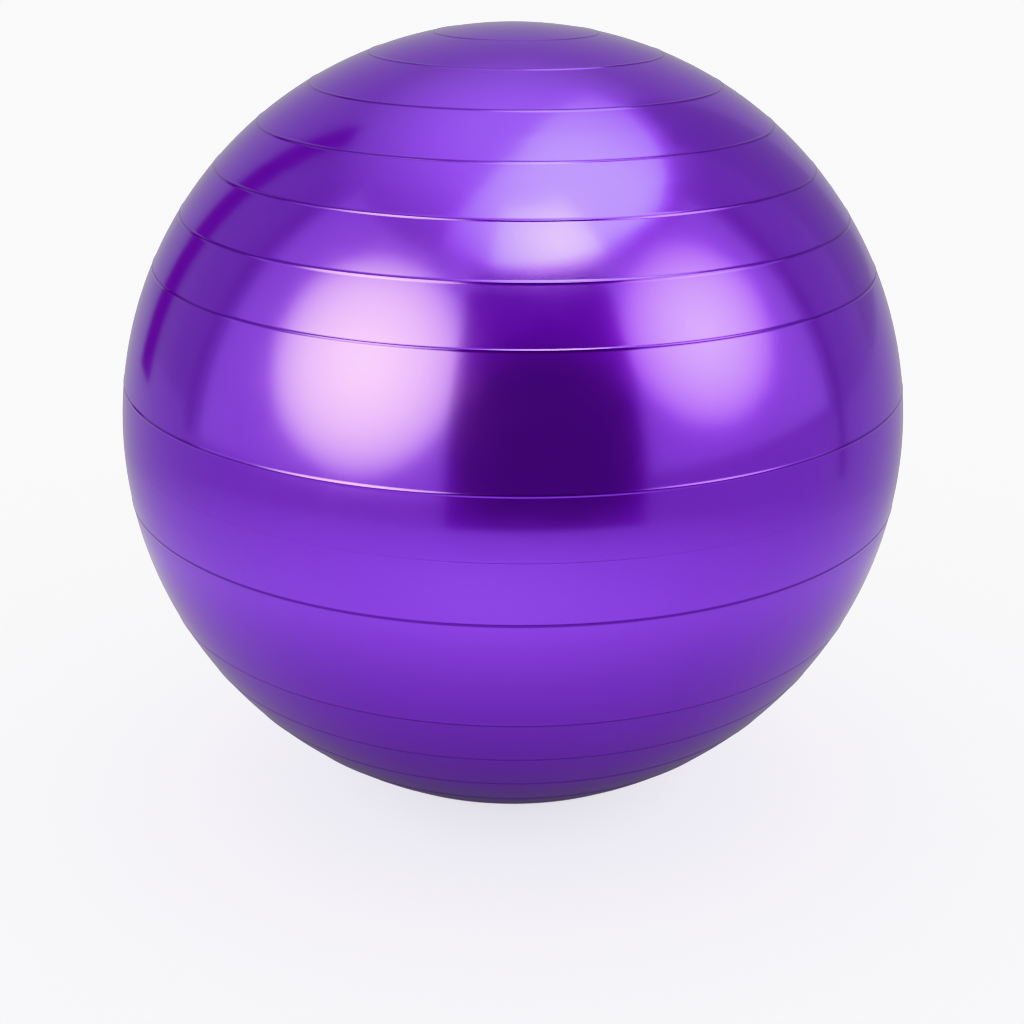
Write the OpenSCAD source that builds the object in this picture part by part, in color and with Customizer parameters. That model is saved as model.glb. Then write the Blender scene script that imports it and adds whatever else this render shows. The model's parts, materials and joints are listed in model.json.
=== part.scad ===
// Inflated exercise ball: a one-piece moulded vinyl skin with raised grip ridges,
// the valve seat welded into its wall, and the push-in plug that closes the valve.
// Millimetres. The origin is where the ball rests, +Z is up through the poles of
// the ridge pattern, and the valve faces +Y.

/* [Ball] */
// Diameter of the inflated ball, without its ridges
ball_d = 650; // [450:10:850]
// Thickness of the stretched vinyl wall
wall_t = 0.8; // [0.6:0.1:1.4]
// Diameter of the flat that the ball's own weight presses on the floor
contact_d = 52; // [40:2:70]

/* [Ridges] */
// Width of a grip ridge where it meets the skin
ridge_w = 2.4; // [2:0.2:4]
// Height of a grip ridge above the skin
ridge_h = 0.4; // [0.3:0.1:1.2]
// Width of the mould parting line round the equator
parting_w = 1.4; // [1:0.1:2]
// Height of the mould parting line
parting_h = 0.25; // [0.1:0.05:0.4]

/* [Valve] */
// Height of the valve above the equator, in degrees of latitude
valve_lat = 17; // [15:0.5:19]
// Diameter of the valve's hole
bore_d = 9.1; // [8:0.1:10]
// Diameter of the seat's face, flush in the skin
seat_face_d = 30; // [28:1:34]
// Diameter of the seat's welding lip under the skin
seat_lip_d = 40; // [38:1:46]
// Outer diameter of the seat's neck inside the ball
neck_d = 15; // [14:0.5:18]
// Length of the valve, from the face to the end of the neck
neck_len = 24; // [20:1:28]

/* [Plug] */
// Diameter of the plug's head
head_d = 18; // [16:0.5:20]
// Thickness of the plug's head
head_t = 1.6; // [1.2:0.1:2]
// Clearance all round the plug's stem and head
plug_gap = 0.05; // [0.02:0.01:0.08]
// Length of the plug's sealing stem, under the head
stem_len = 14; // [12:1:16]
// Length of the plug's slim tip, past the sealing stem
tip_len = 15; // [12:1:16]
// Diameter of the slim tip at its end
tip_d = 5.4; // [5:0.1:6]

/* [Hidden] */
$fn = 96;

ball_r = ball_d / 2;
// The flat is a chord of the ball, so its centre sits this high above the floor.
centre_z = sqrt(pow(ball_r, 2) - pow(contact_d / 2, 2));

// Latitudes of the ridges, the same above and below the equator. The band from the
// first to the second is twice as wide as the others and is left smooth.
ridge_lat = [8.5, 25.7, 34, 42.2, 50.7, 59.7, 69, 78.5];

// The seat's face is a thick pad, and a moulded bead runs round its edge.
pad_t = 3.2;
lip_t = 1.2;
bead_d = 1.6;
bead_h = 0.5;
// The recess that takes the plug's head, so that it lies almost flush.
recess_gap = 0.4;
recess_depth = 1.2;
// Distance from the ball's centre to the recess floor, along the valve's axis.
recess_floor = sqrt(pow(ball_r, 2) - pow(head_d / 2 + recess_gap, 2)) - recess_depth;
// The plug's details: domed top, blind core, step to the slim tip and entry cone.
dome_h = 0.5;
core_d = 3.2;
core_end = 4;
step_d = 6.8;
lead_in = 1;
// Overrun of a cutting tool past the solid that it cuts
over = 1;

// Radius of the circle whose cap is w wide and h high
function cap_r(w, h) = (w * w / 4 + h * h) / (2 * h);

module at_centre() {
    translate([0, 0, centre_z]) children();
}

// Turns +Z into the valve's outward axis, with the origin at the ball's centre.
module on_valve_axis() {
    at_centre() rotate([valve_lat - 90, 0, 0]) children();
}

// A raised line round the ball at one latitude
module ridge(lat, w, h) {
    r = cap_r(w, h);
    reach = ball_r + h - r;
    rotate_extrude()
        translate([reach * cos(lat), reach * sin(lat)]) circle(r);
}

module all_ridges() {
    ridge(0, parting_w, parting_h);
    for (lat = ridge_lat, side = [-1, 1])
        ridge(side * lat, ridge_w, ridge_h);
}

// Everything above the height z of the floor
module above(z) {
    size = ball_d * 2;
    translate([-size / 2, -size / 2, z]) cube(size);
}

module ball_skin() {
    color("#6a22c8")
        difference() {
            intersection() {
                at_centre() union() {
                    sphere(ball_r);
                    all_ridges();
                }
                above(0);
            }
            intersection() {
                at_centre() sphere(ball_r - wall_t);
                above(wall_t);
            }
            on_valve_axis() cylinder(h = ball_r + over, d = seat_face_d);
        }
}

// A disc of the ball's own curvature, between two depths under the surface
module curved_disc(d, from, to) {
    intersection() {
        difference() {
            sphere(ball_r - from);
            sphere(ball_r - to);
        }
        cylinder(h = ball_r + over, d = d);
    }
}

module seat_bead() {
    r = cap_r(bead_d, bead_h);
    ring_r = seat_face_d / 2 - bead_d / 2;
    rotate_extrude()
        translate([ring_r, sqrt(pow(ball_r, 2) - pow(ring_r, 2)) + bead_h - r])
            circle(r);
}

module valve_seat() {
    color("#5a18b4")
        on_valve_axis()
            difference() {
                union() {
                    curved_disc(seat_face_d, 0, pad_t);
                    curved_disc(seat_lip_d, wall_t, wall_t + lip_t);
                    seat_bead();
                    translate([0, 0, ball_r - neck_len]) cylinder(h = neck_len - pad_t / 2, d = neck_d);
                }
                translate([0, 0, ball_r - neck_len - over]) cylinder(h = neck_len + 2 * over, d = bore_d);
                translate([0, 0, recess_floor]) cylinder(h = ball_r, d = head_d + 2 * recess_gap);
            }
}

// The plug, with its head's underside on the plane z = 0
module plug_shape() {
    stem_d = bore_d - 2 * plug_gap;
    difference() {
        union() {
            intersection() {
                cylinder(h = head_t + dome_h, d = head_d);
                translate([0, 0, head_t + dome_h - cap_r(head_d, dome_h)])
                    sphere(cap_r(head_d, dome_h));
            }
            translate([0, 0, -stem_len]) cylinder(h = stem_len + head_t / 2, d = stem_d);
            translate([0, 0, -stem_len - lead_in]) cylinder(h = lead_in, d1 = step_d, d2 = stem_d);
            translate([0, 0, -stem_len - tip_len])
                cylinder(h = tip_len - lead_in + over / 2, d1 = tip_d, d2 = step_d);
        }
        translate([0, 0, -stem_len - tip_len - over])
            cylinder(h = stem_len + tip_len + over - core_end, d = core_d);
    }
}

module valve_plug() {
    color("#e9efe9")
        on_valve_axis() translate([0, 0, recess_floor]) plug_shape();
}

ball_skin();
valve_seat();
valve_plug();
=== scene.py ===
# An inflated exercise ball: pearl vinyl skin with raised grip ridges, and the valve on its far side.
# Metres, +Z up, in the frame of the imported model. The ball stands on the flat that its weight presses.
import json
import math

import bmesh
import bpy
from mathutils import Matrix, Quaternion, Vector, noise


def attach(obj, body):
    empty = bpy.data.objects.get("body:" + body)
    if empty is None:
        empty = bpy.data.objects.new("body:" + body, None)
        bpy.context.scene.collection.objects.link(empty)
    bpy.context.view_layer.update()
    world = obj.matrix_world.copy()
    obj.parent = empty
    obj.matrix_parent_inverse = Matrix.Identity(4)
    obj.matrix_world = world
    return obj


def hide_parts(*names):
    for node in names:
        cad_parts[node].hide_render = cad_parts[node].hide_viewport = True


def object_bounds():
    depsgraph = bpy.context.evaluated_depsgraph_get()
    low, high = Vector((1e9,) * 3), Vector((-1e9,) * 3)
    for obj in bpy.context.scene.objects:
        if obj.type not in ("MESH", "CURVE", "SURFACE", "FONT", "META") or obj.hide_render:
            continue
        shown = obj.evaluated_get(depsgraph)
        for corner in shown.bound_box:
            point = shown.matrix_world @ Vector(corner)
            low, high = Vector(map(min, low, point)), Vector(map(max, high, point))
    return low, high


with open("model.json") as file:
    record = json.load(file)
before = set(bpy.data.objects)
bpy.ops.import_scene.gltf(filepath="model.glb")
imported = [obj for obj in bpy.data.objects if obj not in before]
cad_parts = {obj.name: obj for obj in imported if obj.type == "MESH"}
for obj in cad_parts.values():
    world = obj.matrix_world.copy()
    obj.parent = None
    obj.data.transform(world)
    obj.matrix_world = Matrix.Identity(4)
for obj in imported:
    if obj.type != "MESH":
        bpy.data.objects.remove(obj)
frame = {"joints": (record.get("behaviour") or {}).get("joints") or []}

CAD_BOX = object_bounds()
MM = 0.001

# ---------------------------------------------------------------- sizes
PARTING_W = 1.4 * MM
PARTING_H = 0.25 * MM
# The parting line is barely seen, so it is shown lower than the CAD has it. The ridges are
# shown a little lower and wider than the CAD has them, because their feet are soft.
PARTING_SEEN_H = 0.05 * MM
RIDGE_W = 3.2 * MM
RIDGE_H = 0.36 * MM
RIDGE_LATS = (8.5, 25.7, 34.0, 42.2, 50.7, 59.7, 69.0, 78.5)
WALL_T = 0.8 * MM

BALL_R = (CAD_BOX[1].x - CAD_BOX[0].x) / 2 - PARTING_H
CENTRE = Vector((0.0, 0.0, CAD_BOX[1].z - BALL_R))
VALVE_AXIS = Vector(frame["joints"][0]["axis"]).normalized()
VALVE_LAT = math.degrees(math.asin(VALVE_AXIS.z))

SEAT_FACE_R = 15.0 * MM
SEAT_LIP_R = 20.0 * MM
SEAT_PAD_T = 3.2 * MM
SEAT_LIP_T = 1.2 * MM
SEAT_BEAD_W = 1.6 * MM
SEAT_BEAD_H = 0.5 * MM
NECK_R = 7.5 * MM
NECK_LEN = 24.0 * MM
BORE_R = 4.55 * MM
RECESS_R = 9.4 * MM
RECESS_DEPTH = 1.2 * MM
RECESS_FLOOR = math.sqrt(BALL_R ** 2 - RECESS_R ** 2) - RECESS_DEPTH
LIP_SHOWS_H = 0.25 * MM
LIP_SHOWS_FROM = 0.8 * MM
EDGE_W = 0.7 * MM
EDGE_DIP = 0.45 * MM

# The plug: its head has a shallow ring groove, its stem a neck under the head and a blind core.
HEAD_R = 9.0 * MM
HEAD_T = 1.6 * MM
HEAD_DOME = 0.5 * MM
STEM_R = 4.5 * MM
STEM_LEN = 14.0 * MM
STEP_R = 3.4 * MM
TIP_R = 2.7 * MM
TIP_LEN = 15.0 * MM
LEAD_IN = 1.0 * MM
CORE_R = 1.6 * MM
CORE_END = 4.0 * MM
NECK_CUT = 0.35 * MM
NECK_END = 1.2 * MM
GROOVE_R = 6.1 * MM
GROOVE_W = 0.3 * MM


# ---------------------------------------------------------------- mesh tools
class Shell:
    """Vertices and faces gathered ring by ring, then made into one object."""

    def __init__(self):
        self.points = []
        self.faces = []

    def ring(self, points):
        first = len(self.points)
        self.points.extend(points)
        return list(range(first, first + len(points)))

    def bridge(self, a, b):
        """Joins two closed rings. The longer one may have twice the points of the other."""
        if len(a) > len(b):
            a, b = b, a
        n = len(a)
        for i in range(n):
            j = (i + 1) % n
            if len(b) == n:
                self.faces.append((a[i], a[j], b[j], b[i]))
            else:
                mid, end = b[2 * i + 1], b[2 * j]
                self.faces.append((a[i], mid, b[2 * i]))
                self.faces.append((a[i], a[j], mid))
                self.faces.append((a[j], end, mid))

    def stitch(self, a, a_turns, b, b_turns):
        """Joins two closed rings of any lengths, by each point's angle round them."""
        i = j = 0
        while i < len(a) or j < len(b):
            next_a = a_turns[(i + 1) % len(a)] + 2 * math.pi * ((i + 1) // len(a))
            next_b = b_turns[(j + 1) % len(b)] + 2 * math.pi * ((j + 1) // len(b))
            here_a, here_b = a[i % len(a)], b[j % len(b)]
            if j == len(b) or (i < len(a) and next_a <= next_b):
                self.faces.append((here_a, a[(i + 1) % len(a)], here_b))
                i += 1
            else:
                self.faces.append((here_a, b[(j + 1) % len(b)], here_b))
                j += 1

    def cap(self, ring, tip):
        """Closes a ring with a fan to one point."""
        tip_index = self.ring([tip])[0]
        for i in range(len(ring)):
            self.faces.append((ring[i], ring[(i + 1) % len(ring)], tip_index))

    def build(self, name, material):
        mesh = bpy.data.meshes.new(name)
        bm = bmesh.new()
        verts = [bm.verts.new(p) for p in self.points]
        for face in self.faces:
            bm.faces.new([verts[i] for i in face])
        bmesh.ops.recalc_face_normals(bm, faces=bm.faces)
        for face in bm.faces:
            face.smooth = True
        bm.to_mesh(mesh)
        bm.free()
        mesh.materials.append(material)
        piece = bpy.data.objects.new(name, mesh)
        bpy.context.scene.collection.objects.link(piece)
        return piece


def rounded(corners, steps=5):
    """A closed outline with its corners rounded. Each corner is (r, h, radius)."""
    out = []
    n = len(corners)
    for i, (x, y, radius) in enumerate(corners):
        here = Vector((x, y))
        if radius == 0:
            out.append(here)
            continue
        to_last = (Vector(corners[i - 1][:2]) - here).normalized()
        to_next = (Vector(corners[(i + 1) % n][:2]) - here).normalized()
        half = to_last.angle(to_next) / 2
        along = radius / math.tan(half)
        centre = here + (to_last + to_next).normalized() * (radius / math.sin(half))
        start = here + to_last * along - centre
        sweep = start.angle_signed(here + to_next * along - centre)
        for k in range(steps + 1):
            turn = Matrix.Rotation(-sweep * k / steps, 2)
            out.append(centre + turn @ start)
    return out


def lathe(name, outline, segments, origin, axis, material):
    """Turns a closed (radius, height) outline round an axis. Points on the axis become single points."""
    turn = Vector((0, 0, 1)).rotation_difference(axis)
    shell = Shell()

    def at(radius, height, k):
        angle = 2 * math.pi * k / segments
        spoke = Vector((radius * math.cos(angle), radius * math.sin(angle), height))
        return origin + turn @ spoke

    rings = []
    for p in outline:
        if p.x > 1e-7:
            rings.append(shell.ring([at(p.x, p.y, k) for k in range(segments)]))
        else:
            rings.append(shell.ring([at(0, p.y, 0)]))
    for a, b in zip(rings, rings[1:] + rings[:1]):
        if len(a) == 1 and len(b) == 1:
            continue
        if len(a) > 1 and len(b) > 1:
            shell.bridge(a, b)
            continue
        rim, tip = (a, b[0]) if len(a) > 1 else (b, a[0])
        for i in range(segments):
            shell.faces.append((rim[i], rim[(i + 1) % segments], tip))
    return shell.build(name, material)


# ---------------------------------------------------------------- ball skin
SKIN_SEGMENTS = 240
PRESS_SOFTNESS = 0.4 * MM
SAG_MM = 0.10 * MM
PATCH_HALF = 24 * MM
PATCH_RIM = 96
CALM_FROM = 36 * MM
CALM_OVER = 60 * MM
CALM_LAT = 8.0
ROW_GAP = 0.6 * MM
ROW_GROWTH = 2.2
WIDEST_ROW = 9 * MM
ROWS_PER_LINE = 8
CROWDED = 0.13
FEWEST_SHARE = 8


def pressed(z, floor):
    """Height of a point of the skin once the floor holds it up, with a soft edge to the flat."""
    lowest = CENTRE.z - BALL_R
    soft = lambda d: (d + math.sqrt(d * d + PRESS_SOFTNESS ** 2)) / 2
    return floor + soft(z - floor) - soft(lowest)


def direction(lat, lon):
    """Unit vector at a latitude and a longitude in degrees. Longitude 90 faces the valve's side."""
    a, b = math.radians(lat), math.radians(lon)
    return Vector((math.cos(a) * math.cos(b), math.cos(a) * math.sin(b), math.sin(a)))


def bump(offset, width, height):
    """Height of a rounded raised line at a distance from its middle."""
    if abs(offset) >= width / 2:
        return 0.0
    return height * (1 + math.cos(2 * math.pi * offset / width)) / 2


def raised_lines():
    """(latitude, width, height) of the parting line and of every ridge, from the lowest up."""
    ridges = [(side * lat, RIDGE_W, RIDGE_H) for lat in RIDGE_LATS for side in (-1, 1)]
    return sorted(ridges + [(0.0, PARTING_W, PARTING_SEEN_H)])


LINES = raised_lines()


def line_relief(lat):
    """How far the raised lines stand out of the skin at a latitude."""
    return sum(bump(math.radians(lat - at) * BALL_R, w, h) for at, w, h in LINES)


def unevenness(unit):
    """The slight waviness of an inflated skin."""
    return SAG_MM * (noise.noise(unit * 3.1) + 0.5 * noise.noise(unit * 6.7 + Vector((5, 2, 9))))


def valve_relief(reach):
    """Relief round the valve, by distance from it: the lip shows through and the hole's edge dips."""
    rise = min(max((SEAT_LIP_R + LIP_SHOWS_FROM - reach) / (2 * LIP_SHOWS_FROM), 0), 1)
    step = LIP_SHOWS_H * rise * rise * (3 - 2 * rise)
    edge = min(max((SEAT_FACE_R + EDGE_W - reach) / EDGE_W, 0), 1)
    return step - EDGE_DIP * edge * edge


def outer_point(unit):
    """A point of the skin's outside. The waviness fades out at the equator and round the valve."""
    lat = math.degrees(math.asin(max(-1, min(1, unit.z))))
    radius = BALL_R + line_relief(lat)
    reach = (unit - VALVE_AXIS).length * BALL_R
    if reach < SEAT_LIP_R + 2 * MM:
        radius += valve_relief(reach)
    fade = min(max((reach - CALM_FROM) / CALM_OVER, 0), 1) * min(abs(lat) / CALM_LAT, 1)
    radius += fade * min(unevenness(unit), 0)
    p = CENTRE + unit * radius
    p.z = pressed(p.z, 0)
    return p


def inner_point(unit):
    p = CENTRE + unit * (BALL_R - WALL_T)
    p.z = pressed(p.z, WALL_T)
    return p


def graded(start, stop, first, growth, widest):
    """Places between two edges, close together near both and further apart between them."""
    places = []
    at, step = 0.0, first
    half = (stop - start) / 2
    while at + step * 1.2 < half:
        at += step
        places.append(at)
        step = min(step * growth, widest)
    return [start + p for p in places] + [start + half] + [stop - p for p in reversed(places)]


def outer_latitudes():
    """Latitudes of the skin's rows, close together across each raised line."""
    pole = math.radians(90) * BALL_R
    rows = []
    last = -pole
    for lat, width, _ in LINES:
        middle = math.radians(lat) * BALL_R
        rows += graded(last, middle - width / 2, ROW_GAP, ROW_GROWTH, WIDEST_ROW)
        rows += [middle + width * (k / ROWS_PER_LINE - 0.5) for k in range(ROWS_PER_LINE + 1)]
        last = middle + width / 2
    rows += graded(last, pole, ROW_GAP, ROW_GROWTH, WIDEST_ROW)
    return [math.degrees(s / BALL_R) for s in rows]


def segments_at(lat, full):
    """Number of points round the ball at a latitude: halved each time they crowd near the poles."""
    size = math.cos(math.radians(lat))
    n = full
    while size * full < n * CROWDED and n % 2 == 0 and n > full / FEWEST_SHARE:
        n //= 2
    return n


def around_valve(unit):
    """Angle of a direction round the valve's axis."""
    side = Vector((0, 0, 1)).cross(VALVE_AXIS).normalized()
    up = VALVE_AXIS.cross(side)
    return math.atan2(unit.dot(up), unit.dot(side))


def valve_ring(reach, angles):
    """Directions on a circle round the valve's axis."""
    side = Vector((0, 0, 1)).cross(VALVE_AXIS).normalized()
    up = VALVE_AXIS.cross(side)
    tilt = math.asin(reach / BALL_R)
    spokes = [side * math.cos(a) + up * math.sin(a) for a in angles]
    return [VALVE_AXIS * math.cos(tilt) + s * math.sin(tilt) for s in spokes]


def add_skin_side(shell, point, lats, full, patch_radii):
    """One side of the skin: rows of latitude with a round hole for the valve. Returns the hole's rim."""
    middle = full // 4
    reach = PATCH_HALF / (BALL_R * math.cos(math.radians(VALVE_LAT)))
    half_columns = math.ceil(math.degrees(reach) * full / 360)
    half_rows = math.degrees(PATCH_HALF / BALL_R)
    first = max(i for i, lat in enumerate(lats) if lat < VALVE_LAT - half_rows)
    last = min(i for i, lat in enumerate(lats) if lat > VALVE_LAT + half_rows)

    rings = []
    for lat in lats:
        n = segments_at(lat, full)
        rings.append(shell.ring([point(direction(lat, 360 * k / n)) for k in range(n)]))
    for i in range(len(rings) - 1):
        if first <= i < last:
            a, b = rings[i], rings[i + 1]
            for k in range(full):
                if middle - half_columns <= k < middle + half_columns:
                    continue
                j = (k + 1) % full
                shell.faces.append((a[k], a[j], b[j], b[k]))
        else:
            shell.bridge(rings[i], rings[i + 1])
    for ring, lat in ((rings[0], -90), (rings[-1], 90)):
        shell.cap(ring, point(direction(lat, 0)))

    left, right = middle - half_columns, middle + half_columns
    loop = [rings[first][k] for k in range(left, right)]
    loop += [rings[i][right] for i in range(first, last)]
    loop += [rings[last][k] for k in range(right, left, -1)]
    loop += [rings[i][left] for i in range(last, first, -1)]
    angles = [around_valve((shell.points[i] - CENTRE).normalized()) for i in loop]
    start = min(range(len(loop)), key=lambda i: abs(angles[i]))
    loop = loop[start:] + loop[:start]
    angles = angles[start:] + angles[:start]
    for i in range(1, len(angles)):
        while angles[i] < angles[i - 1]:
            angles[i] += 2 * math.pi

    even = [2 * math.pi * k / PATCH_RIM for k in range(PATCH_RIM)]
    rings = [shell.ring([point(u) for u in valve_ring(radius, even)]) for radius in patch_radii]
    shell.stitch(loop, angles, rings[0], even)
    for wide, narrow in zip(rings, rings[1:]):
        shell.bridge(wide, narrow)
    return rings[-1]


def make_skin(material):
    """The whole skin: outside, inside, and the edge of the valve's hole between them."""
    shell = Shell()
    lip = SEAT_LIP_R
    outer_radii = [lip + d * MM for d in (1.6, 1.2, 0.8, 0.4, 0.0, -0.4, -0.8, -2.0, -3.4)]
    outer_radii += [SEAT_FACE_R + d * MM for d in (0.7, 0.5, 0.3, 0.15, 0.0)]
    outer_rim = add_skin_side(shell, outer_point, outer_latitudes(), SKIN_SEGMENTS, outer_radii)
    inner_lats = [-87 + 3 * i for i in range(59)]
    inner_radii = [lip, lip - 1 * MM, SEAT_FACE_R + 1 * MM, SEAT_FACE_R]
    inner_rim = add_skin_side(shell, inner_point, inner_lats, 72, inner_radii)
    shell.bridge(outer_rim, inner_rim)
    skin = shell.build("ball_skin_vinyl", material)
    mark_lines(skin.data)
    return skin


def mark_lines(mesh):
    """Gives each point of the skin how far it stands on a ridge, 0 to 1, for the material's painted
    shade on the ridges to read.
    """
    height = mesh.attributes.new("ridge", "FLOAT", "POINT")
    for vertex, value in zip(mesh.vertices, height.data):
        spoke = vertex.co - CENTRE
        lat = math.degrees(math.asin(max(-1, min(1, spoke.z / spoke.length))))
        value.value = line_relief(lat) / RIDGE_H


# ---------------------------------------------------------------- materials
class Nodes:
    """Short calls for building one material's nodes."""

    def __init__(self, name):
        self.material = bpy.data.materials.new(name)
        self.material.use_nodes = True
        self.tree = self.material.node_tree
        self.shader = self.tree.nodes["Principled BSDF"]
        self.where = self.new("ShaderNodeTexCoord").outputs["Object"]

    def new(self, kind, **settings):
        node = self.tree.nodes.new(kind)
        for key, value in settings.items():
            setattr(node, key, value)
        return node

    def link(self, output, socket):
        self.tree.links.new(output, socket)

    def set(self, **sockets):
        """Sets plain numbers and colours on the shader's own sockets."""
        for key, value in sockets.items():
            self.shader.inputs[key.replace("_", " ")].default_value = value

    def noise(self, scale, detail=2.0, roughness=0.5, distortion=0.0):
        node = self.new("ShaderNodeTexNoise")
        node.inputs["Scale"].default_value = scale
        node.inputs["Detail"].default_value = detail
        node.inputs["Roughness"].default_value = roughness
        node.inputs["Distortion"].default_value = distortion
        self.link(self.where, node.inputs["Vector"])
        return node.outputs["Fac"]

    def remap(self, value, low, high, to_low, to_high, smooth=False):
        node = self.new("ShaderNodeMapRange")
        if smooth:
            node.interpolation_type = "SMOOTHSTEP"
        for socket, number in zip(node.inputs[1:5], (low, high, to_low, to_high)):
            socket.default_value = number
        self.link(value, node.inputs["Value"])
        return node.outputs["Result"]

    def mix(self, factor, a, b):
        node = self.new("ShaderNodeMix", data_type="RGBA")
        self.link(factor, node.inputs["Factor"])
        for socket, colour in ((node.inputs["A"], a), (node.inputs["B"], b)):
            if isinstance(colour, tuple):
                socket.default_value = (*colour, 1.0)
            else:
                self.link(colour, socket)
        return node.outputs["Result"]

    def attribute(self, name):
        return self.new("ShaderNodeAttribute", attribute_name=name).outputs["Fac"]

    def bump(self, height, distance, before=None):
        node = self.new("ShaderNodeBump")
        node.inputs["Strength"].default_value = 1.0
        node.inputs["Distance"].default_value = distance
        self.link(height, node.inputs["Height"])
        if before is not None:
            self.link(before, node.inputs["Normal"])
        return node.outputs["Normal"]


def pearl_vinyl():
    """Violet vinyl full of pearl flakes: a metallic sheen under a soft gloss, with painted shade that
    darkens the ridges.
    """
    n = Nodes("pearl_vinyl")
    flow = n.noise(7, detail=3, distortion=0.6)
    grain = n.noise(1400, detail=2)
    drift = n.remap(flow, 0.3, 0.7, 0, 1)
    sparkle = n.remap(grain, 0.35, 0.65, 0, 1)
    colour = n.mix(drift, (0.245, 0.055, 0.72), (0.265, 0.062, 0.77))
    fleck = n.mix(sparkle, (0.24, 0.053, 0.71), (0.27, 0.064, 0.79))
    body = n.mix(n.remap(flow, 0.0, 1.0, 0.4, 0.6), colour, fleck)
    # Painted shade: the base colour turns a deep dark violet on the ridges, standing in for the shade
    # along them.
    painted_ridge_shade = n.remap(n.attribute("ridge"), 0.1, 0.9, 0, 1)
    n.link(n.mix(painted_ridge_shade, body, (0.12, 0.015, 0.40)), n.shader.inputs["Base Color"])
    haze = n.noise(38, detail=4, roughness=0.6)
    n.link(n.remap(haze, 0.3, 0.7, 0.17, 0.20), n.shader.inputs["Roughness"])
    peel = n.bump(n.noise(260, detail=1), 0.0015 * MM)
    flakes = n.bump(grain, 0.0005 * MM, before=peel)
    n.link(flakes, n.shader.inputs["Normal"])
    n.set(Metallic=0.88, Specular_Tint=(0.85, 0.65, 0.97, 1.0))
    n.set(Coat_Weight=0.75, Coat_Roughness=0.12, Coat_IOR=1.5)
    return n.material


def seat_vinyl():
    """Thicker, duller vinyl of the same colour, with a fine moulded grain."""
    n = Nodes("seat_vinyl")
    patch = n.noise(160, detail=3)
    colour = n.mix(n.remap(patch, 0.3, 0.7, 0, 1), (0.13, 0.016, 0.42), (0.165, 0.024, 0.50))
    n.link(colour, n.shader.inputs["Base Color"])
    n.link(n.remap(patch, 0.3, 0.7, 0.36, 0.48), n.shader.inputs["Roughness"])
    n.link(n.bump(n.noise(2600, detail=2), 0.02 * MM), n.shader.inputs["Normal"])
    n.set(Metallic=0.25, Coat_Weight=0.15, Coat_Roughness=0.3)
    return n.material


def plug_plastic():
    """Milky, slightly green translucent plastic with faint flow marks."""
    n = Nodes("plug_plastic")
    milk = n.noise(220, detail=3, distortion=1.2)
    colour = n.mix(n.remap(milk, 0.3, 0.7, 0, 1), (0.74, 0.80, 0.75), (0.86, 0.89, 0.86))
    n.link(colour, n.shader.inputs["Base Color"])
    n.link(n.remap(milk, 0.3, 0.7, 0.26, 0.38), n.shader.inputs["Roughness"])
    n.link(n.bump(n.noise(900, detail=2), 0.012 * MM), n.shader.inputs["Normal"])
    n.set(Transmission_Weight=0.3, IOR=1.5, Subsurface_Weight=0.35, Subsurface_Scale=2 * MM)
    return n.material


# ---------------------------------------------------------------- valve
def sphere_height(radius, depth=0.0):
    """Height along the valve's axis of the ball's surface, or of a surface under it."""
    return math.sqrt((BALL_R - depth) ** 2 - radius ** 2)


def seat_outline():
    """The valve seat's cut face: neck, pad, welding lip, bead, recess for the plug's head, and bore."""
    neck_end = BALL_R - NECK_LEN
    lip_under = WALL_T + SEAT_LIP_T
    bead = []
    for k in range(9):
        r = SEAT_FACE_R - SEAT_BEAD_W * k / 8
        offset = SEAT_BEAD_W * (k / 8 - 0.5)
        bead.append((r, sphere_height(r) + bump(offset, SEAT_BEAD_W, SEAT_BEAD_H), 0))
    face = []
    for k in range(1, 4):
        r = bead[-1][0] + (RECESS_R - bead[-1][0]) * k / 4
        face.append((r, sphere_height(r), 0))
    corners = [
        (BORE_R, neck_end, 0.4 * MM),
        (NECK_R, neck_end, 0.6 * MM),
        (NECK_R, sphere_height(NECK_R, SEAT_PAD_T), 1.0 * MM),
        (SEAT_FACE_R, sphere_height(SEAT_FACE_R, SEAT_PAD_T), 0.4 * MM),
        (SEAT_FACE_R, sphere_height(SEAT_FACE_R, lip_under), 0.3 * MM),
        (SEAT_LIP_R, sphere_height(SEAT_LIP_R, lip_under), 0.3 * MM),
        (SEAT_LIP_R, sphere_height(SEAT_LIP_R, WALL_T), 0.3 * MM),
        (SEAT_FACE_R, sphere_height(SEAT_FACE_R, WALL_T), 0),
    ]
    corners += bead + face
    corners += [
        (RECESS_R, sphere_height(RECESS_R), 0.35 * MM),
        (RECESS_R, RECESS_FLOOR, 0.3 * MM),
        (BORE_R, RECESS_FLOOR, 0.35 * MM),
    ]
    return rounded(corners)


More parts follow.
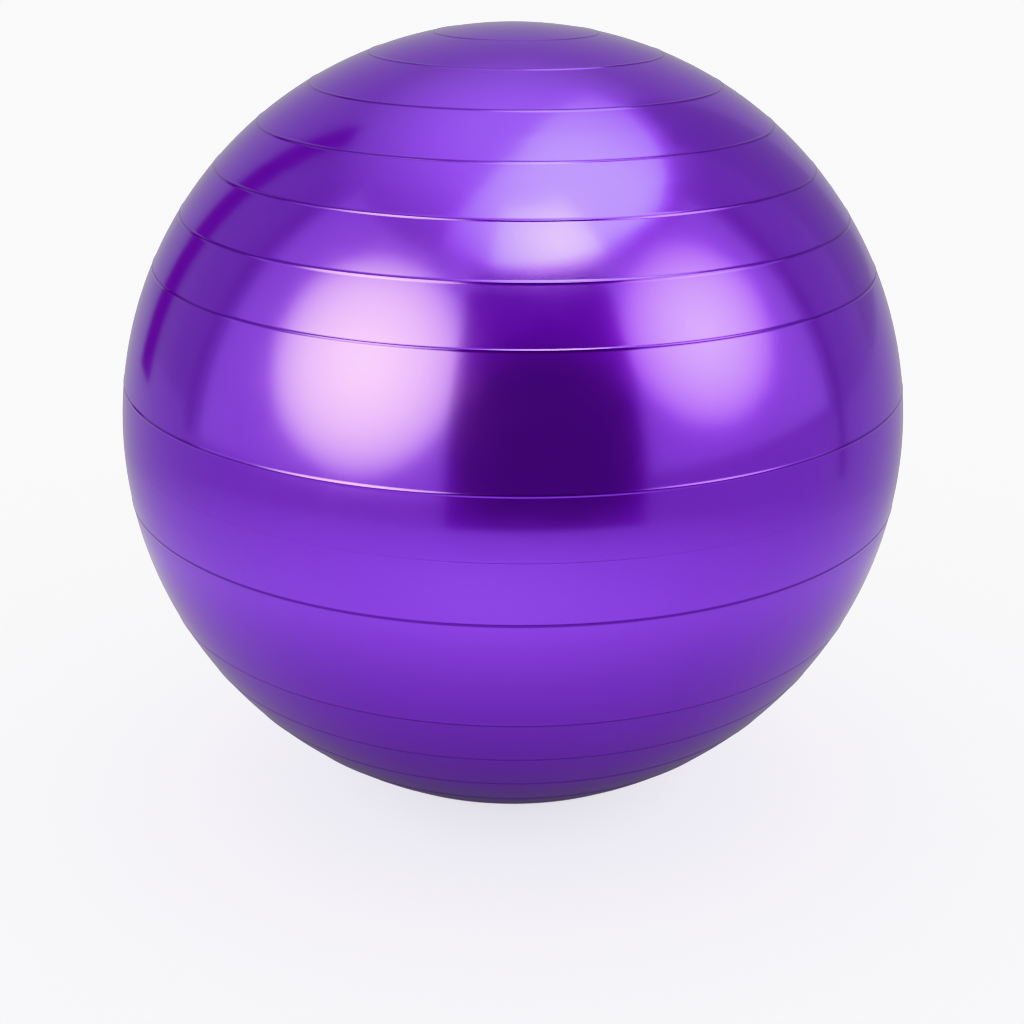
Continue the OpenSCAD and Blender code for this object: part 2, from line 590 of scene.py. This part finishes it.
def plug_outline():
    """The plug's cut face, with the underside of its head at height 0."""
    top = HEAD_T + HEAD_DOME
    end = -STEM_LEN - TIP_LEN
    corners = [
        (0, -CORE_END, 0),
        (CORE_R, -CORE_END, 0.7 * MM),
        (CORE_R, end, 0.3 * MM),
        (TIP_R, end, 0.6 * MM),
        (STEP_R, -STEM_LEN - LEAD_IN, 0.3 * MM),
        (STEM_R, -STEM_LEN, 0.4 * MM),
        (STEM_R, -1.5 * NECK_END, 0.4 * MM),
        (STEM_R - NECK_CUT, -NECK_END, 0.3 * MM),
        (STEM_R - NECK_CUT, 0, 0.25 * MM),
        (HEAD_R, 0, 0.35 * MM),
        (HEAD_R, HEAD_T, 0.55 * MM),
        (GROOVE_R + GROOVE_W, HEAD_T + 0.24 * MM, 0.2 * MM),
        (GROOVE_R, HEAD_T + 0.10 * MM, 0.15 * MM),
        (GROOVE_R - GROOVE_W, HEAD_T + 0.28 * MM, 0.2 * MM),
        (1.6 * MM, top - 0.02 * MM, 0.3 * MM),
        (1.1 * MM, top - 0.25 * MM, 0.25 * MM),
        (0, top - 0.25 * MM, 0),
    ]
    return rounded(corners)


# ---------------------------------------------------------------- build the pieces
skin = make_skin(pearl_vinyl())
seat = lathe("valve_seat_moulding", seat_outline(), 96, CENTRE, VALVE_AXIS, seat_vinyl())
plug_foot = CENTRE + VALVE_AXIS * RECESS_FLOOR
plug = lathe("valve_plug_moulding", plug_outline(), 72, plug_foot, VALVE_AXIS, plug_plastic())

for piece, body, node, slot in (
    (skin, "ball", "ball_skin", "pearl_vinyl"),
    (seat, "ball", "valve_seat", "seat_vinyl"),
    (plug, "plug", "valve_plug", "plug_plastic"),
):
    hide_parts(node)
    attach(piece, body)

# ---------------------------------------------------------------- studio
FLOOR_R = 40.0
ROOM_R = 9.0
CARD_R = 3.2


def toward(azimuth, elevation):
    """Unit vector from the ball. Azimuth 0 is the camera's side and 90 is its right."""
    a, e = math.radians(azimuth), math.radians(elevation)
    return Vector((math.sin(a) * math.cos(e), -math.cos(a) * math.cos(e), math.sin(e)))


def disc(name, material, height, radii=(0.5, 1.5, 4.0, 12.0, FLOOR_R)):
    """A wide level disc."""
    shell = Shell()
    turns = [2 * math.pi * k / 96 for k in range(96)]
    spokes = [Vector((math.cos(a), math.sin(a), 0)) for a in turns]
    lift = Vector((0, 0, height))
    rings = [shell.ring([spoke * r + lift for spoke in spokes]) for r in radii]
    for inner, outer in zip(rings, rings[1:]):
        shell.bridge(inner, outer)
    shell.cap(rings[0], Vector((0, 0, height)))
    return shell.build(name, material)


def only_in_gloss(obj):
    """Keeps a piece of the studio out of the camera's sight and off the floor: only gloss shows it."""
    obj.visible_camera = False
    obj.visible_diffuse = False
    obj.visible_transmission = False
    obj.visible_shadow = False


class Glow:
    """Nodes of a surface that shines with a colour worked out from its own place."""

    def __init__(self, name):
        self.material = bpy.data.materials.new(name)
        self.material.use_nodes = True
        self.tree = self.material.node_tree
        self.tree.nodes.remove(self.tree.nodes["Principled BSDF"])
        self.light = self.tree.nodes.new("ShaderNodeEmission")
        self.tree.links.new(self.light.outputs[0], self.tree.nodes["Material Output"].inputs["Surface"])
        self.where = self.tree.nodes.new("ShaderNodeTexCoord").outputs["Object"]

    def nearness(self, place, full, none):
        """1 within one distance of a place, falling evenly to 0 at another."""
        gap = self.tree.nodes.new("ShaderNodeVectorMath")
        gap.operation = "DISTANCE"
        gap.inputs[1].default_value = place
        fall = self.tree.nodes.new("ShaderNodeMapRange")
        for socket, number in zip(fall.inputs[1:5], (full, none, 1, 0)):
            socket.default_value = number
        self.tree.links.new(self.where, gap.inputs[0])
        self.tree.links.new(gap.outputs["Value"], fall.inputs["Value"])
        return fall.outputs["Result"]

    def mix(self, factor, a, b):
        node = self.tree.nodes.new("ShaderNodeMix")
        node.data_type = "RGBA"
        self.tree.links.new(factor, node.inputs["Factor"])
        for socket, colour in ((node.inputs["A"], a), (node.inputs["B"], b)):
            if isinstance(colour, tuple):
                socket.default_value = (*colour, 1.0)
            else:
                self.tree.links.new(colour, socket)
        return node.outputs["Result"]

    def shine(self, colour):
        self.tree.links.new(colour, self.light.inputs["Color"])
        return self.material


def grey(level):
    return (level, level, level)


def card(name, azimuths, elevations, radius, edge, core=None, core_toward=(0, 0), full=0.0, none=1.0):
    """A curved panel round the ball, between two azimuths and two elevations, seen only in the gloss."""
    glow = Glow(name)
    middle = CENTRE + toward(*core_toward) * radius
    near = glow.nearness(middle, full, none)
    material = glow.shine(glow.mix(near, edge, core or edge))
    steps = 24
    points = []
    faces = []
    for i in range(steps + 1):
        for j in range(steps + 1):
            azimuth = azimuths[0] + (azimuths[1] - azimuths[0]) * i / steps
            elevation = elevations[0] + (elevations[1] - elevations[0]) * j / steps
            points.append(CENTRE + toward(azimuth, elevation) * radius)
            if i < steps and j < steps:
                first = i * (steps + 1) + j
                faces.append((first, first + 1, first + steps + 2, first + steps + 1))
    mesh = bpy.data.meshes.new(name)
    mesh.from_pydata(points, [], faces)
    mesh.materials.append(material)
    panel = bpy.data.objects.new(name, mesh)
    bpy.context.scene.collection.objects.link(panel)
    only_in_gloss(panel)


def make_floor():
    """A wide plain pale floor."""
    material = bpy.data.materials.new("studio_floor")
    material.use_nodes = True
    shader = material.node_tree.nodes["Principled BSDF"]
    shader.inputs["Base Color"].default_value = (0.6, 0.6, 0.6, 1)
    shader.inputs["Emission Color"].default_value = (1.0, 1.0, 1.0, 1)
    shader.inputs["Emission Strength"].default_value = 0.65
    shader.inputs["Roughness"].default_value = 0.9
    shader.inputs["Specular IOR Level"].default_value = 0.0
    floor = disc("studio_floor", material, 0.0)
    floor.visible_glossy = False


def make_floor_glow():
    """What the gloss shows of the floor: a pool of light before the ball and the shade under it."""
    glow = Glow("floor_glow")
    pool = glow.nearness((-0.1, -0.75, 0), 0.1, 1.6)
    shade = glow.nearness((0, 0, 0), 0.12, 0.62)
    lit = glow.mix(pool, grey(0.5), grey(1.03))
    obj = disc("floor_glow", glow.shine(glow.mix(shade, lit, grey(0.12))), 0.0)
    only_in_gloss(obj)


def make_room():
    """The dim room round the studio, which only the gloss shows."""
    glow = Glow("studio_room")
    above = glow.nearness(CENTRE + toward(180, 82) * ROOM_R, 1.5, 6.0)
    behind = glow.nearness(CENTRE + toward(180, 15) * ROOM_R, 6.0, 11.0)
    walls = glow.mix(behind, grey(0.40), grey(0.47))
    card_material = glow.shine(glow.mix(above, walls, grey(1.25)))
    mesh = bpy.data.meshes.new("studio_room")
    ball = bmesh.new()
    bmesh.ops.create_icosphere(ball, subdivisions=4, radius=ROOM_R, matrix=Matrix.Translation(CENTRE))
    ball.to_mesh(mesh)
    ball.free()
    mesh.materials.append(card_material)
    room = bpy.data.objects.new("studio_room", mesh)
    bpy.context.scene.collection.objects.link(room)
    only_in_gloss(room)


def make_world():
    """Even white studio light from all round."""
    world = bpy.data.worlds.new("studio_air")
    bpy.context.scene.world = world
    world.use_nodes = True
    background = world.node_tree.nodes["Background"]
    background.inputs["Color"].default_value = (1.0, 1.0, 1.0, 1)
    background.inputs["Strength"].default_value = 1.9


make_floor()
make_floor_glow()
make_room()
make_world()
# Each panel: azimuths, elevations, distance, edge colour, then the core's colour, place and reach.
# The cores of the lamps lean to yellow-green, which the violet skin turns into a near white gloss.
card("softbox_left", (-92, -17), (-5, 57), CARD_R, grey(0.8), (12.4, 21.5, 4.7), (-44, 26), 0.1, 1.55)
card("softbox_right", (35, 95), (1, 53), CARD_R, grey(0.8), (9.8, 9.3, 6.2), (60, 30), 0.1, 1.25)
card("softbox_top", (-36, 155), (58, 89), CARD_R, grey(0.82), (4.8, 4.2, 4.6), (62, 72), 0.6, 2.0)
top_lamp_edge = (3.0, 3.4, 2.8)
top_lamp_core = (9.5, 18.0, 4.6)
card("top_lamp", (-10, 42), (57.5, 74), CARD_R * 0.95, top_lamp_edge, top_lamp_core, (25, 63), 0.1, 1.0)
card("dark_gap", (-15.5, 31.7), (-9, 47), 1.45, (0.2, 0.0, 0.28), grey(0.0), (8, 10), 0.5, 0.74)
card("dark_strip_left", (-131, -122), (-8, 52), CARD_R, (0.2, 0.0, 0.25))
card("dark_strip_right", (122, 146), (0, 54), CARD_R, grey(0.36))
card("stand_left", (-98.5, -95.5), (-5, 46), CARD_R * 0.95, grey(0.25))
card("stand_right", (94.0, 96.0), (-12, 46), CARD_R * 0.5, grey(0.15))

# ---------------------------------------------------------------- camera
CAMERA_ELEVATION = 17.95
CAMERA_DISTANCE = 4.63 * BALL_R
AIM_BELOW = 3.09
CAMERA_ROLL = 0.5
LENS = 62.0

camera_data = bpy.data.cameras.new("camera")
camera_data.lens = LENS
camera_data.sensor_width = 36
camera = bpy.data.objects.new("camera", camera_data)
bpy.context.scene.collection.objects.link(camera)
camera.location = CENTRE + toward(0, CAMERA_ELEVATION) * CAMERA_DISTANCE
look = -toward(0, CAMERA_ELEVATION + AIM_BELOW)
camera.rotation_mode = "QUATERNION"
roll = Quaternion((0, 0, 1), math.radians(CAMERA_ROLL))
camera.rotation_quaternion = look.to_track_quat("-Z", "Y") @ roll
bpy.context.scene.camera = camera
bpy.context.scene.view_settings.view_transform = "Khronos PBR Neutral"
